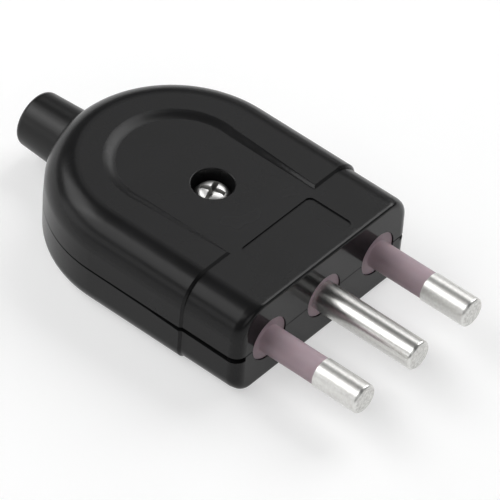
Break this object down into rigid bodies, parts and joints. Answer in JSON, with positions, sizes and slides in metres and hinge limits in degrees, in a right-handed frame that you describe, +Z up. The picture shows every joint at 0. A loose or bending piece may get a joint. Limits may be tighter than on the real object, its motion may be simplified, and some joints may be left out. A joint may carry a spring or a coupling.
{
  "type": "rewirable three-pin mains plug",
  "caption": "Flat in-line mains plug with a row of round pins, insulated outer pins, a split screwed housing with a recessed tongue, and a rubber cable bush.",
  "frame": {"origin": "on the earth pin's axis, in the plane of the plug's front face", "axes": "-Y along the pins, towards the socket; +Y towards the cable bush; +Z up through the cover; X across the row of pins"},
  "size_m": [0.0418, 0.0788, 0.0166],
  "materials": {
    "cover_plastic": "moulded, fine spark-eroded grain, satin",
    "shell_plastic": "moulded, fine spark-eroded grain, satin",
    "screw_zinc": "bright zinc plate",
    "nut_steel": "bright zinc plate",
    "line_pin_nickel": "nickel plate on turned brass",
    "earth_pin_nickel": "nickel plate on turned brass, polished",
    "sleeve_plastic": "moulded, matt",
    "collar_plastic": "moulded, matt",
    "terminal_screw_steel": "passivated zinc plate",
    "plate_brass": "rolled brass strip",
    "clamp_plastic": "moulded, matt",
    "clamp_screw_steel": "passivated zinc plate",
    "bush_rubber": "moulded soft rubber, matt"
  },
  "bodies": {
    "root": {"top_cover": "cover_plastic", "bottom_shell": "shell_plastic", "cover_screw": "screw_zinc", "cover_nut": "nut_steel", "left_line_pin": "line_pin_nickel", "right_line_pin": "line_pin_nickel", "earth_pin": "earth_pin_nickel", "left_pin_sleeve": "sleeve_plastic", "right_pin_sleeve": "sleeve_plastic", "earth_pin_collar": "collar_plastic", "left_terminal_screw": "terminal_screw_steel", "earth_terminal_screw": "terminal_screw_steel", "right_terminal_screw": "terminal_screw_steel", "left_pressure_plate": "plate_brass", "earth_pressure_plate": "plate_brass", "right_pressure_plate": "plate_brass", "cord_clamp": "clamp_plastic", "left_clamp_screw": "clamp_screw_steel", "right_clamp_screw": "clamp_screw_steel", "cable_bush": "bush_rubber"}
  },
  "joints": []
}
